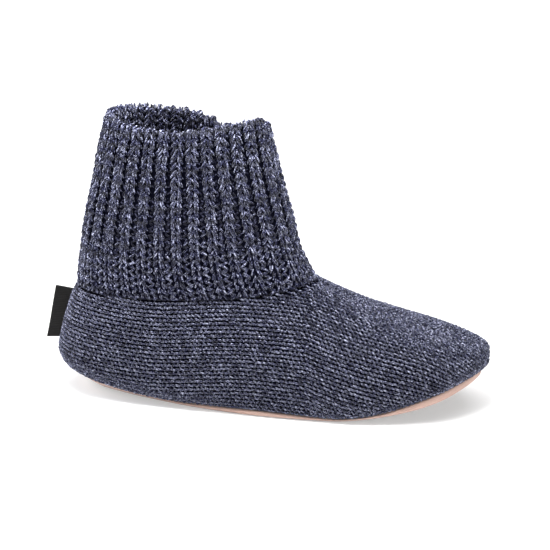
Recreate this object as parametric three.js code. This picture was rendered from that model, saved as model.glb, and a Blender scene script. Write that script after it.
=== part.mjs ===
// A knitted bootie slipper for the right foot: a stockinette foot sewn to a thin turned-up suede sole,
// a ribbed cuff with its top folded in, a loose insole, and a folded ribbon tab in the heel seam.
// Millimetres, +Z up, +X towards the toe, -Y the outer (little-toe) side.
import * as THREE from "three";

// Driving dimensions
const GAP = 0.3; // between pieces that are sewn or laid against each other
const FOOT_WALL = 3.6; // thickness of the foot's knit
const CUFF_WALL = 3.4; // thickness of one layer of the ribbed knit, between its ribs
const SOLE_THICKNESS = 1.8;
const SOLE_CORNER = 1.6; // radius of the sole's lower edge, where it turns up
const LIP_WIDTH = 1.6; // the turned-up edge, seen from above
const LIP_FOOT = 3.2; // inset where the turned-up edge meets the sole's upper face
const INSOLE_THICKNESS = 3.0;
const INSOLE_INSET = 4.6; // from the sole's outline
const INSOLE_SIDE = 1.8; // height of the insole's upright edge
const INSOLE_BEVEL = 1; // how far its upper face lies in from that edge
const CUP_WIDTH = 12.5; // how far in from its outline the sole curls up round the heel
const ROLL_LINE = 182; // the sole is flat from the heel to here, then springs up to the toe
const TOE_SPRING = 19.4;
const SPRING_END = 271;
const SPRING_POWER = 1.6;
const TUCK_ANGLE = THREE.MathUtils.degToRad(75); // how far the knit turns under below its widest line

// Sections of the last from the toe tip to the back of the heel, at even steps round each side.
// along, outer, inner: the widest line, from the heel's back and from the axis
// tuck: how far the sole's outline lies inside it; belly: its height above the sole's edge
// cup: rise of the sole's edge; lip: height of the turned-up edge
// seam: the collar seam's angle that this section runs up to, in degrees from the front
// reach, drop: how far out of and below the seam the crown begins, as a share and in millimetres
// wall: share of the height to the seam in which the wall climbs upright from the widest line
const SECTION_NAMES = "along outer inner tuck belly cup lip seam reach drop wall".split(" ");
const SECTIONS = [
  [277, -6, 6, 6, 10, 0, 4.2, 0, 0.76, 42, 0.33],
  [266.5, 17, 27, 5, 10, 0, 5.4, 8, 0.75, 40, 0.36],
  [243, 37, 43, 3.5, 11, 0, 5.4, 17, 0.59, 32, 0.45],
  [196, 48, 50, 4.5, 13, 0, 1.7, 28, 0.64, 24, 0.42],
  [132, 46, 43, 2.5, 16, 0, 3.5, 62, 0.9, 11, 0.42],
  [68, 41, 39, 10, 12, 0.6, 1.9, 104, 0.9, 7, 0.36],
  [15, 31, 31, 14.5, 16, 6, 1.8, 146, 0.74, 6, 0.25],
  [-7, 0, 0, 15, 17.5, 6, 1.8, 180, 0.42, 9.5, 0.08],
].map((row) => Object.fromEntries(SECTION_NAMES.map((name, i) => [name, row[i]])));
const SEAM_HEIGHT = { back: 70, front: 80 };

// Sections of the cuff from the seam to the rim: share of its height, where its back and front lie
// along the foot, half its width, and how far its ribs stand out.
const CUFF_SECTIONS = [
  { share: 0, back: 7, front: 164, half: 36.5, rib: 0.8 },
  { share: 0.07, back: 8.2, front: 159.7, half: 39, rib: 2.2 },
  { share: 0.2, back: 10.4, front: 153.4, half: 39.5, rib: 2.4 },
  { share: 0.4, back: 15.2, front: 147.6, half: 38, rib: 2.4 },
  { share: 0.6, back: 20.5, front: 142, half: 35.5, rib: 2.4 },
  { share: 0.8, back: 25, front: 137, half: 32.5, rib: 2.4 },
  { share: 0.94, back: 29, front: 133.8, half: 30, rib: 2.2 },
];
// Heights of the rim at even steps round it, from the front by its outer side.
const RIM_HEIGHTS = [
  180, 187, 186.5, 184, 180.5, 181.2, 183, 184.3, 185.5, 186, 185.5, 183.5, 180.5, 171, 168, 172,
];
const RIM_ROLL = 3.2; // radius of the folded top edge
const RIM_FULLNESS = 1.2; // how far the fold swells outwards
const RIB_COUNT = 30;
const HEM_SHARE = 0.5; // the folded-in layer hangs down inside to this share of the cuff's height
const HEM_LAYER = 3.0; // thickness that the folded-in layer adds
const OVAL_POWER = 2.2; // 2 is an ellipse; a little more is the fuller oval of a soft cuff

// The tab: width is at its bottom, lean is how far it moves along the foot for each millimetre up,
// and its ends slope down towards the heel by droop at the top and rise by lift at the bottom.
const TAB = { height: 36, width: 9, ribbon: 0.6, bottom: 29, lean: 0.2, droop: 1.7, lift: 0.7 };

// Mesh densities
const FOOT_STEPS = 72;
const CUFF_STEPS = RIB_COUNT * 4;
const TUCK_ROWS = 3;
const WALL_ROWS = 9;
const LINING_ROWS = 7;
const OVAL_STEPS = 720; // fine steps along which an oval's length is measured
const INSETS = [12.5, 9, 6.5]; // rings of the sole's faces, in from its outline
const TAB_ROWS = 8;
const RIM_RINGS = [0.3, 0.5, 0.7]; // rings over the cuff's fold, as shares of the way in
const SINGLE_RINGS = [0.48, 0.25, 0.07, 0]; // rings inside the cuff below the folded-in layer

const COLOURS = { yarn: 0x3f4153, suede: 0xd9ad9c, ribbon: 0x1d1a1c, lining: 0x8f8f96 };

// Interpolation

// Values at even steps round a closed loop, joined smoothly; perLap is what one lap adds.
function roundLoop(values, turn, perLap = 0) {
  const n = values.length;
  const i = Math.floor(turn);
  const f = turn - i;
  const at = (k) => values[((k % n) + n) % n] + perLap * Math.floor(k / n);
  return cubic(at(i - 1), at(i), at(i + 1), at(i + 2), f);
}

const evenly = (count, from, to) => [...Array(count + 1).keys()].map((i) => from + ((to - from) * i) / count);

function cubic(a, b, c, d, f) {
  return b + 0.5 * f * (c - a + f * (2 * a - 5 * b + 4 * c - d + f * (3 * (b - c) + d - a)));
}

// A table's column at a share of its height, joined smoothly through rows at uneven shares.
function column(rows, name, share) {
  const last = rows.length - 1;
  let i = 0;
  while (i < last - 1 && share > rows[i + 1].share) i++;
  const low = rows[i];
  const high = rows[i + 1];
  const span = high.share - low.share;
  const slope = (k) => {
    const before = rows[Math.max(k - 1, 0)];
    const after = rows[Math.min(k + 1, last)];
    return (after[name] - before[name]) / (after.share - before.share);
  };
  const f = (share - low.share) / span;
  const g = 1 - f;
  return (
    g * g * (1 + 2 * f) * low[name] +
    f * f * (1 + 2 * g) * high[name] +
    span * f * g * (g * slope(i) - f * slope(i + 1))
  );
}

// The last

const OUTER_SIDE = SECTIONS.map((s) => ({ ...s, across: -s.outer }));
const INNER_SIDE = SECTIONS.slice(1, -1)
  .reverse()
  .map((s) => ({ ...s, across: s.inner, seam: 360 - s.seam }));
const LOOP = [...OUTER_SIDE, ...INNER_SIDE];
const LAP = LOOP.length;
const loopColumn = Object.fromEntries(Object.keys(LOOP[0]).map((name) => [name, LOOP.map((s) => s[name])]));

const onLast = (name, turn) => roundLoop(loopColumn[name], turn, name === "seam" ? 360 : 0);

// The widest line from above, and its outward direction.
function widest(turn) {
  const step = 0.01;
  const point = (t) => new THREE.Vector2(onLast("along", t), onLast("across", t));
  const ahead = point(turn + step).sub(point(turn - step)).normalize();
  return { place: point(turn), outward: new THREE.Vector2(ahead.y, -ahead.x).negate() };
}

function soleOutline(turn, inset = 0) {
  const { place, outward } = widest(turn);
  return place.addScaledVector(outward, -onLast("tuck", turn) - inset);
}

// Height of the sole's lower face, at an inset from its outline.
function soleHeight(turn, inset) {
  const x = soleOutline(turn, inset).x;
  const rolled = Math.max(0, (x - ROLL_LINE) / (SPRING_END - ROLL_LINE));
  const curl = Math.max(0, 1 - inset / CUP_WIDTH);
  return TOE_SPRING * rolled ** SPRING_POWER + Math.max(0, onLast("cup", turn)) * curl * curl;
}

const solePoint = (turn, inset, above) => {
  const p = soleOutline(turn, inset);
  return new THREE.Vector3(p.x, p.y, soleHeight(turn, inset) + above);
};

// The collar seam, where foot and cuff meet; the angle runs from the front round the outer side.
function seamHeight(angle) {
  const forward = (1 + Math.cos(angle)) / 2;
  return SEAM_HEIGHT.back + (SEAM_HEIGHT.front - SEAM_HEIGHT.back) * forward * forward;
}

function oval(angle, back, front, half) {
  const signedPower = (v) => Math.sign(v) * Math.abs(v) ** (2 / OVAL_POWER);
  const x = (back + front) / 2 + ((front - back) / 2) * signedPower(Math.cos(angle));
  return new THREE.Vector2(x, -half * signedPower(Math.sin(angle)));
}

// The foot's outer face: rise is -1 at the sole's edge, 0 at the widest line and 1 at the collar seam.
function footPoint(turn, rise) {
  const { place, outward } = widest(turn);
  const tuck = onLast("tuck", turn);
  const belly = onLast("belly", turn);
  const edge = soleHeight(turn, 0) + onLast("lip", turn) + GAP;
  if (rise <= 0) {
    const angle = rise * TUCK_ANGLE;
    const inset = (tuck * (1 - Math.cos(angle))) / (1 - Math.cos(TUCK_ANGLE));
    const p = place.addScaledVector(outward, -inset);
    return new THREE.Vector3(p.x, p.y, edge + belly * (1 + Math.sin(angle) / Math.sin(TUCK_ANGLE)));
  }
  const angle = THREE.MathUtils.degToRad(onLast("seam", turn));
  const seamRow = CUFF_SECTIONS[0];
  const seam = oval(angle, seamRow.back, seamRow.front, seamRow.half);
  const top = seamHeight(angle);
  const low = edge + belly;
  const crown = seam.clone().lerp(place, onLast("reach", turn));
  return new THREE.CubicBezierCurve3(
    new THREE.Vector3(place.x, place.y, low),
    new THREE.Vector3(place.x, place.y, low + onLast("wall", turn) * (top - low)),
    new THREE.Vector3(crown.x, crown.y, top - onLast("drop", turn)),
    new THREE.Vector3(seam.x, seam.y, top),
  ).getPoint(rise);
}

// A point of the foot moved in from its outer face by a depth.
function footInside(turn, rise, depth) {
  const step = 0.004;
  const low = Math.max(-1, rise - step);
  const high = Math.min(1, rise + step);
  const along = footPoint(turn + step, rise).sub(footPoint(turn - step, rise));
  const up = footPoint(turn, high).sub(footPoint(turn, low));
  const outward = along.cross(up).normalize().negate();
  return footPoint(turn, rise).addScaledVector(outward, -depth);
}

// The cuff

const rimHeight = (angle) => roundLoop(RIM_HEIGHTS, (angle / (2 * Math.PI)) * RIM_HEIGHTS.length);

const CUFF_TOP = CUFF_SECTIONS.at(-1).share; // the fold begins here

// Places at even steps along an oval, four to a rib, each with its angle and outward direction.
function evenOval(back, front, half) {
  const ring = evenly(OVAL_STEPS, 0, 2 * Math.PI).map((angle) => oval(angle, back, front, half));
  const lengths = [0];
  for (let i = 0; i < OVAL_STEPS; i++) lengths.push(lengths[i] + ring[i].distanceTo(ring[i + 1]));
  const places = [];
  let i = 0;
  for (let k = 0; k < CUFF_STEPS; k++) {
    const wanted = (k / CUFF_STEPS) * lengths[OVAL_STEPS];
    while (lengths[i + 1] < wanted) i++;
    const f = (wanted - lengths[i]) / (lengths[i + 1] - lengths[i]);
    const ahead = ring[i + 1].clone().sub(ring[i]).normalize();
    places.push({
      place: ring[i].clone().lerp(ring[i + 1], f),
      outward: new THREE.Vector2(-ahead.y, ahead.x),
      angle: ((i + f) / OVAL_STEPS) * 2 * Math.PI,
    });
  }
  return places;
}

// One ring of the cuff, moved out along its own normals, with a share of its ribs' full height.
function cuffRing(share, offset, ribs, above = 0) {
  const row = (name) => column(CUFF_SECTIONS, name, Math.min(share, CUFF_TOP));
  return evenOval(row("back"), row("front"), row("half")).map(({ place, outward, angle }, k) => {
    const phase = (2 * Math.PI * k * RIB_COUNT) / CUFF_STEPS;
    const p = place.addScaledVector(outward, offset + (ribs * row("rib") * (1 - Math.cos(phase))) / 2);
    const low = seamHeight(angle) + GAP;
    return new THREE.Vector3(p.x, p.y, low + share * (rimHeight(angle) - low) + above);
  });
}

// Meshes from rings of points

function closedGeometry(points, triangles) {
  const geometry = new THREE.BufferGeometry().setFromPoints(points);
  geometry.setIndex(triangles);
  geometry.computeVertexNormals();
  return geometry;
}

function bands(ringCount, steps, joinLastToFirst) {
  const triangles = [];
  const pairs = joinLastToFirst ? ringCount : ringCount - 1;
  for (let r = 0; r < pairs; r++) {
    for (let i = 0; i < steps; i++) {
      const j = (i + 1) % steps;
      const low = r * steps;
      const high = ((r + 1) % ringCount) * steps;
      triangles.push(low + i, high + i, low + j, low + j, high + i, high + j);
    }
  }
  return triangles;
}

// A wall that closes on itself both round the foot and through its thickness.
function wallGeometry(rings) {
  return closedGeometry(rings.flat(), bands(rings.length, rings[0].length, true));
}

// A plate: the first and last rings are filled straight across from side to side.
function plateGeometry(rings) {
  const steps = rings[0].length;
  const triangles = bands(rings.length, steps, false);
  const fill = (base, facingUp) => {
    for (let i = 0; i < steps / 2; i++) {
      const [a, b, c, d] = [i, i + 1, steps - i - 1, (steps - i) % steps].map((k) => base + k);
      const faces = [a, b, c, a, c, d];
      for (let k = 0; k < faces.length; k += 3) {
        const [p, q, r] = faces.slice(k, k + 3);
        if (p === q || q === r || r === p) continue;
        triangles.push(...(facingUp ? [p, r, q] : [p, q, r]));
      }
    }
  };
  fill(0, false);
  fill((rings.length - 1) * steps, true);
  return closedGeometry(rings.flat(), triangles);
}

const TURNS = evenly(FOOT_STEPS, 0, LAP).slice(0, -1);

// Pieces

function soleGeometry() {
  const ring = (inset, above) => TURNS.map((t) => solePoint(t, inset, above));
  const diagonal = SOLE_CORNER * (1 - Math.SQRT1_2);
  const edge = (inset, above) =>
    TURNS.map((t) => {
      const p = soleOutline(t, inset);
      return new THREE.Vector3(p.x, p.y, soleHeight(t, 0) + above(onLast("lip", t)));
    });
  return plateGeometry([
    ...INSETS.map((inset) => ring(inset, 0)),
    ring(SOLE_CORNER, 0),
    edge(diagonal, () => diagonal),
    edge(0, () => SOLE_CORNER),
    edge(0, (lip) => lip),
    edge(LIP_WIDTH, (lip) => lip),
    ring(LIP_FOOT, SOLE_THICKNESS),
    ring(INSOLE_INSET, SOLE_THICKNESS),
    ...INSETS.toReversed().map((inset) => ring(inset, SOLE_THICKNESS)),
  ]);
}

function insoleGeometry() {
  const low = SOLE_THICKNESS + GAP;
  const ring = (inset, above) => TURNS.map((t) => solePoint(t, inset, above));
  return plateGeometry([
    ...INSETS.map((inset) => ring(inset, low)),
    ring(INSOLE_INSET, low),
    ring(INSOLE_INSET, low + INSOLE_SIDE),
    ring(INSOLE_INSET + INSOLE_BEVEL, low + INSOLE_THICKNESS),
    ...INSETS.toReversed().map((inset) => ring(inset, low + INSOLE_THICKNESS)),
  ]);
}

function footGeometry() {
  const outside = [...evenly(TUCK_ROWS, -1, 0).slice(0, -1), ...evenly(WALL_ROWS, 0, 1)];
  const inside = evenly(LINING_ROWS, 1, -1);
  return wallGeometry([
    ...outside.map((rise) => TURNS.map((t) => footPoint(t, rise))),
    ...inside.map((rise) => TURNS.map((t) => footInside(t, rise, FOOT_WALL))),
  ]);
}

function cuffGeometry() {
  const outer = CUFF_SECTIONS.map(({ share }) => cuffRing(share, 0, 1));
  const folded = CUFF_WALL + HEM_LAYER;
  const rim = RIM_RINGS.map((across) => {
    const outwards = RIM_FULLNESS * (1 - across) - folded * across;
    return cuffRing(1, outwards, (1 - across) / 2, RIM_ROLL * (Math.sin(Math.PI * across) - 1));
  });
  const hem = evenly(2, CUFF_TOP, HEM_SHARE).map((share) => cuffRing(share, -folded, 0));
  const single = SINGLE_RINGS.map((share) => cuffRing(share, -CUFF_WALL, 0));
  return wallGeometry([...outer, ...rim, ...hem, ...single]);
}

// How far along the foot the back of the heel lies at a height.
function heelBack(height) {
  const line = evenly(WALL_ROWS * 6, 0, 1).map((rise) => footPoint(LAP / 2, rise));
  const i = Math.max(1, line.findIndex((p) => p.z >= height));
  const f = (height - line[i - 1].z) / (line[i].z - line[i - 1].z);
  return THREE.MathUtils.lerp(line[i - 1].x, line[i].x, f);
}

// A ribbon folded double, its fold outwards and its two ends against the heel.
function tabGeometry() {
  const { width, ribbon, height, bottom } = TAB;
  const half = ribbon + GAP / 2;
  const plan = new THREE.Shape();
  plan.moveTo(0, -half);
  plan.lineTo(-width + half, -half);
  plan.absarc(-width + half, 0, half, -Math.PI / 2, Math.PI / 2, true);
  plan.lineTo(0, half);
  plan.lineTo(0, GAP / 2);
  plan.lineTo(-width + half, GAP / 2);
  plan.absarc(-width + half, 0, GAP / 2, Math.PI / 2, -Math.PI / 2, false);
  plan.lineTo(0, -GAP / 2);
  const settings = { depth: height, bevelEnabled: false, curveSegments: 4, steps: TAB_ROWS };
  const geometry = new THREE.ExtrudeGeometry(plan, settings);
  const fold = heelBack(bottom) - GAP - width;
  const places = geometry.getAttribute("position");
  for (let i = 0; i < places.count; i++) {
    const inwards = (places.getX(i) + width) / width;
    const share = places.getZ(i) / height;
    const z = bottom + share * height + inwards * THREE.MathUtils.lerp(TAB.lift, -TAB.droop, share);
    const x = THREE.MathUtils.lerp(fold + TAB.lean * share * height, heelBack(z) - GAP, inwards);
    places.setXYZ(i, x, places.getY(i), z);
  }
  geometry.computeVertexNormals();
  return geometry;
}

function piece(name, geometry, colour, roughness) {
  const material = new THREE.MeshStandardMaterial({ color: colour, roughness, metalness: 0 });
  const mesh = new THREE.Mesh(geometry, material);
  mesh.name = name;
  return mesh;
}

// Assembly, with the middle of the part's base at the origin

const shoe = new THREE.Group();
shoe.add(
  piece("sole", soleGeometry(), COLOURS.suede, 0.95),
  piece("insole", insoleGeometry(), COLOURS.lining, 0.95),
  piece("foot", footGeometry(), COLOURS.yarn, 0.95),
  piece("cuff", cuffGeometry(), COLOURS.yarn, 0.95),
  piece("heel_tab", tabGeometry(), COLOURS.ribbon, 0.6),
);
shoe.updateMatrixWorld(true);
const box = new THREE.Box3().setFromObject(shoe, true);
shoe.position.set(-(box.min.x + box.max.x) / 2, -(box.min.y + box.max.y) / 2, -box.min.z);

const slipper = new THREE.Group();
slipper.add(shoe);
export default slipper;
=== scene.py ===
import math

import bpy
import numpy as np
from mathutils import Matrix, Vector


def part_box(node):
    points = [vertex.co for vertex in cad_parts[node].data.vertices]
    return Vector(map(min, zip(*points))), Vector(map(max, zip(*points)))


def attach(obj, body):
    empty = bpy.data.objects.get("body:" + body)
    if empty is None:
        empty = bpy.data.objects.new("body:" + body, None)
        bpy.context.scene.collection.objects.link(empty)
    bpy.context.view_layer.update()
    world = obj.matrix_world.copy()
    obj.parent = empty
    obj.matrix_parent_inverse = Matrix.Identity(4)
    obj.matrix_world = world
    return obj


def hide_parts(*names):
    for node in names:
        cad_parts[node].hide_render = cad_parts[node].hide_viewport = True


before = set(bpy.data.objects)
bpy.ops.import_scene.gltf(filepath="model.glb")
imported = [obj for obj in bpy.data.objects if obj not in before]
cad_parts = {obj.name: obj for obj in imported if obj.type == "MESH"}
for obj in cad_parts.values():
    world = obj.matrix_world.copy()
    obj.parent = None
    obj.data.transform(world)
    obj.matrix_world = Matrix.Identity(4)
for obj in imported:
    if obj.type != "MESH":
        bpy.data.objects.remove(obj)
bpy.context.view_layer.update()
rng = np.random.default_rng(7)

# Sizes of the last, the same as the CAD's, in millimetres
GAP = 0.3
FOOT_WALL = 3.6
CUFF_WALL = 3.4
SOLE_THICKNESS = 1.8
SOLE_CORNER = 1.6  # radius of the sole's lower edge, where it turns up
LIP_WIDTH = 1.6  # the turned-up edge, seen from above
LIP_FOOT = 3.2  # inset where the turned-up edge meets the sole's upper face
INSOLE_THICKNESS = 3.0
INSOLE_INSET = 4.6  # from the sole's outline
CUP_WIDTH = 12.5  # how far in from its outline the sole curls up round the heel
ROLL_LINE = 182  # where the sole starts to rise to the toe
TOE_SPRING = 19.4  # its rise at SPRING_END
SPRING_END = 271
SPRING_POWER = 1.6
TUCK_ANGLE = math.radians(75)  # arc of the foot's wall from its widest line down to the sole's edge
HEEL_BACK = -7
SECTION_NAMES = "along outer inner tuck belly cup lip seam reach drop wall".split()
SECTIONS = [  # toe tip to heel back
    (277, -6, 6, 6, 10, 0, 4.2, 0, 0.76, 42, 0.33),
    (266.5, 17, 27, 5, 10, 0, 5.4, 8, 0.75, 40, 0.36),
    (243, 37, 43, 3.5, 11, 0, 5.4, 17, 0.59, 32, 0.45),
    (196, 48, 50, 4.5, 13, 0, 1.7, 28, 0.64, 24, 0.42),
    (132, 46, 43, 2.5, 16, 0, 3.5, 62, 0.9, 11, 0.42),
    (68, 41, 39, 10, 12, 0.6, 1.9, 104, 0.9, 7, 0.36),
    (15, 31, 31, 14.5, 16, 6, 1.8, 146, 0.74, 6, 0.25),
    (HEEL_BACK, 0, 0, 15, 17.5, 6, 1.8, 180, 0.42, 9.5, 0.08),
]
SEAM_BACK, SEAM_FRONT = 70, 80  # heights of the collar seam
CUFF_NAMES = ("share", "back", "front", "half", "rib")
CUFF_SECTIONS = [  # seam to rim
    (0, 7, 164, 36.5, 0.8),
    (0.07, 8.2, 159.7, 39, 2.2),
    (0.2, 10.4, 153.4, 39.5, 2.4),
    (0.4, 15.2, 147.6, 38, 2.4),
    (0.6, 20.5, 142, 35.5, 2.4),
    (0.8, 25, 137, 32.5, 2.4),
    (0.94, 29, 133.8, 30, 2.2),
]
CUFF_TOP = CUFF_SECTIONS[-1][0]
RIM_HEIGHTS = np.array([  # from the front by the outer side
    180, 187, 186.5, 184, 180.5, 181.2, 183, 184.3, 185.5, 186, 185.5, 183.5, 180.5, 171, 168, 172,
])
RIM_ROLL = 3.2  # radius of the folded top edge
RIB_COUNT = 30
HEM_SHARE = 0.5  # the folded-in layer hangs down inside to this share of the cuff's height
HEM_LAYER = 3.0
FOLDED = CUFF_WALL + HEM_LAYER
OVAL_POWER = 2.2
TAB_HEIGHT, TAB_WIDTH, TAB_BOTTOM = 36.0, 9.0, 29.0
TAB_HALF = 0.75  # half the thickness of the folded ribbon
TAB_LEAN, TAB_DROOP, TAB_LIFT = 0.2, 1.7, 0.7

# Sizes of the knit and the sewing, in millimetres and degrees. A pair is a mean and its spread.
FOOT_ROW = 2.7  # between rows of stitches on the foot
FOOT_STITCH = 3.0  # along a row
FOOT_RADIUS = 0.8
FOOT_FULLNESS = (1, 0.07)  # share of that radius
FOOT_LEG = (3.9, 0.25)
FOOT_SLANT = (26, 6)
FOOT_SUNK = 0.55  # depth of a leg's middle, in radii
FOOT_UNEVEN = 0.12  # spread of the legs' places
FOOT_BACKING = 1.9  # depth of the dark backing below the foot's outer face
CUFF_STITCH = 4.75  # up a rib
CUFF_RADIUS = 1.5  # of a whole leg
CUFF_STRAND = 0.64  # radius of one of its strands
STRAND_SPREAD = 0.06  # share of that radius
RIB_LEGS = [  # name, side of the crest, distance from it, lean, and start up the rib
    ("right", -1, 2.1, 25, 0.0),
    ("left", 1, 2.0, 18, 0.6),
]
RIB_LEAN_SPREAD = 4
RIB_LEG = (6.7, 0.4)
RIB_SUNK = (0.25, 0.1)
RIB_DIP = 1.2
RIB_FACING = 0.3  # how far a leg faces away from the crest
RIB_FULL_FROM, RIB_FULL_OVER = 115, 50  # heights over which the ribs fill out towards the rim
FULL_ASIDE, FULL_STRAND, FULL_APART, FULL_DIP = 0.15, 0.12, 0.2, 0.5  # what filling out changes
ARCH_START = 0.955  # the share of the height at which the rim's fold begins
RIB_ARCH, VALLEY_ARCH = 3.9, 2.4  # how far ribs and valleys rise over that
STRETCH_TOP, STRETCH_OVER = 0.4, 0.24  # shares of the height over which the seam stretches the ribs flat
RIB_FLATTENED = 0.5  # share of a rib's height that stretching takes
VALLEY_DEPTH = 1.5
VALLEY_RAISED, VALLEY_SUNK = 1.1, 0.7  # by stretching, and towards the rim
SUNK_FROM, SUNK_OVER = 0.4, 0.3  # shares of the height over which the valleys sink
VALLEY_HEM = 2.2  # how far the valleys' yarn stands into the hem
PURL_LEG, PURL_PITCH = 4.4, 10.5  # a leg's length where the ribs have this pitch
PURL_RADIUS = 0.7
PURL_SLANT, PURL_SLANT_SPREAD = 38, 10
OPEN_KNIT, OPEN_KNIT_SPREAD = 112, 10  # below this height the valleys have the ribs' yarn, above it the darker yarn painted with shade
BACKING_DEPTH = 1.4  # of the cuff's backing below its wall
BACKING_RIB = 0.5  # share of the ribs' height
BACKING_ROLL = RIM_ROLL - 1.0
BACKING_RIM_DEPTH, BACKING_RIM_DROP = 1.7, 2.6  # below the fold, across and down
BACKING_HEM_DEPTH = 2.0  # below the face of the folded-in layer
HEM_EDGE = 0.015  # share of the height over which that layer ends
CUFF_SEAM_COUNT, CUFF_SEAM_UNEVEN = 118, 0.08
CUFF_SEAM_LEG, CUFF_SEAM_RADIUS = 4.4, 1.05
CUFF_SEAM_RISE, CUFF_SEAM_DEPTH = 0.4, 1.5
CUFF_SEAM_AHEAD, CUFF_SEAM_DOWN = 0.85, 0.5  # parts of a stitch's direction
BACK_SEAM_STITCH, BACK_SEAM_LEG, BACK_SEAM_RADIUS = 2.6, 4.0, 0.85
BACK_SEAM_DEPTH = 0.6
BACK_SEAM_ACROSS, BACK_SEAM_UP = 0.55, 0.8  # parts of a stitch's direction
PUCKER, PUCKER_COUNT = 0.16, 150  # of the suede along its sewn edge
LIP_BULGE = 0.25  # how far the suede's turned-up edge stands out half way up
LIP_ROUNDING, LIP_TOP, LIP_SHOULDER = 0.35, 0.05, 0.5  # its rounded top: fall, and insets at both ends
TAB_SEWN = 0.9  # how far the tab's ends reach into the seam
TAB_CURL, TAB_WAVE, TAB_WAVES = 0.75, 0.36, 7  # the fold's sway to the side, up the tab

# The shape of a leg of yarn
LEG_RINGS, LEG_SIDES = 5, 5
DIP_POWER = 2.4  # how late it bends down towards its ends
TAPER, TAPER_POWER = 0.82, 3.2  # how much and how late it thins
TIP_REACH, TIP_SINK = 0.35, 0.25  # of the point at each end, in radii
TIP_RINGS = 0.6  # where that point lies on the yarn, in rings beyond the last

# Steps of the meshes
SOLE_STEPS, INSOLE_STEPS, FOOT_STEPS, CUFF_STEPS = 360, 240, 260, 360  # round
SOLE_INSETS = [12.5, 10.5, 8.5, 7, 5.5, 4.2, 3]
INSOLE_INSETS = [12.5, 10.5, 9, 7.7, 6.5]
INSOLE_SIDE = [  # inset from the insole's outline, and share of its thickness
    (0.0, 0.0), (-0.3, 0.25), (-0.35, 0.5), (0.0, 0.78), (0.7, 0.95), (1.6, 1.0),
]
OVAL_STEPS = 1440
TAB_ROWS, TAB_COLUMNS, TAB_BENDS = 29, 12, 9

# The design's origin, the heel on the axis, in the row frame (millimetres)
foot_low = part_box("foot")[0]
tab_low, tab_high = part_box("heel_tab")
ORIGIN = np.array([foot_low[0] * 1000 - HEEL_BACK, (tab_low[1] + tab_high[1]) * 500, 0.0])


# The last's shape

def loop_columns():
    """The section table as a closed loop, from the toe by the outer side to the heel and back."""
    outer = [dict(zip(SECTION_NAMES, row)) for row in SECTIONS]
    inner = [dict(row) for row in outer[-2:0:-1]]
    for row in outer:
        row["across"] = -row["outer"]
    for row in inner:
        row["across"] = row["inner"]
        row["seam"] = 360 - row["seam"]
    rows = outer + inner
    return {name: np.array([row[name] for row in rows], float) for name in rows[0]}


COLUMNS = loop_columns()
LAP = len(COLUMNS["along"])


def on_last(name, turn):
    """A section column at a turn round the last: 0 is the toe tip and half a lap the heel's back."""
    return round_loop(COLUMNS[name], turn, 360 if name == "seam" else 0)


def round_loop(values, turn, per_lap=0):
    """Values at even steps round a closed loop, joined smoothly; per_lap is what one lap adds."""
    n = len(values)
    i = np.floor(turn).astype(int)
    f = turn - i
    a, b, c, d = (values[(i + k) % n] + per_lap * np.floor_divide(i + k, n) for k in (-1, 0, 1, 2))
    return b + 0.5 * f * (c - a + f * (2 * a - 5 * b + 4 * c - d + f * (3 * (b - c) + d - a)))


def cuff_column(name, share):
    """A cuff column at a share of its height, joined smoothly."""
    table = np.array(CUFF_SECTIONS, float)
    shares, values = table[:, 0], table[:, CUFF_NAMES.index(name)]
    share = np.clip(share, 0, CUFF_TOP)
    last = len(shares) - 1
    before, after = np.maximum(np.arange(last + 1) - 1, 0), np.minimum(np.arange(last + 1) + 1, last)
    slopes = (values[after] - values[before]) / (shares[after] - shares[before])
    i = np.clip(np.searchsorted(shares, share) - 1, 0, last - 1)
    span = shares[i + 1] - shares[i]
    f = (share - shares[i]) / span
    g = 1 - f
    ends = g * g * (1 + 2 * f) * values[i] + f * f * (1 + 2 * g) * values[i + 1]
    return ends + span * f * g * (g * slopes[i] - f * slopes[i + 1])


def unit(v):
    return v / np.maximum(np.linalg.norm(v, axis=-1, keepdims=True), 1e-9)


def lengths_along(line):
    """The distance along a line of points, at each of them."""
    return np.concatenate([[0], np.cumsum(np.linalg.norm(np.diff(line, axis=0), axis=1))])


def widest(turn):
    """The widest line from above, and its outward direction."""
    def place(t):
        return np.stack([on_last("along", t), on_last("across", t)], -1)
    step = 0.01
    ahead = place(turn + step) - place(turn - step)
    ahead /= np.linalg.norm(ahead, axis=-1, keepdims=True)
    return place(turn), np.stack([-ahead[..., 1], ahead[..., 0]], -1)


def sole_outline(turn, inset):
    place, outward = widest(turn)
    return place - outward * (on_last("tuck", turn) + inset)[..., None]


def sole_height(turn, inset):
    """The height of the sole's lower face: it rises to the toe and curls up round the heel."""
    x = sole_outline(turn, inset)[..., 0]
    rolled = np.maximum(0, (x - ROLL_LINE) / (SPRING_END - ROLL_LINE))
    curl = np.maximum(0, 1 - inset / CUP_WIDTH)
    return TOE_SPRING * rolled**SPRING_POWER + np.maximum(0, on_last("cup", turn)) * curl**2


def seam_height(angle):
    forward = (1 + np.cos(angle)) / 2
    return SEAM_BACK + (SEAM_FRONT - SEAM_BACK) * forward**2


def oval(angle, back, front, half):
    """Points on a full oval, at angles from its front by the outer side."""
    def rounded(v):
        return np.sign(v) * np.abs(v) ** (2 / OVAL_POWER)
    x = (back + front) / 2 + (front - back) / 2 * rounded(np.cos(angle))
    return np.stack([x, -half * rounded(np.sin(angle))], -1)


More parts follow.
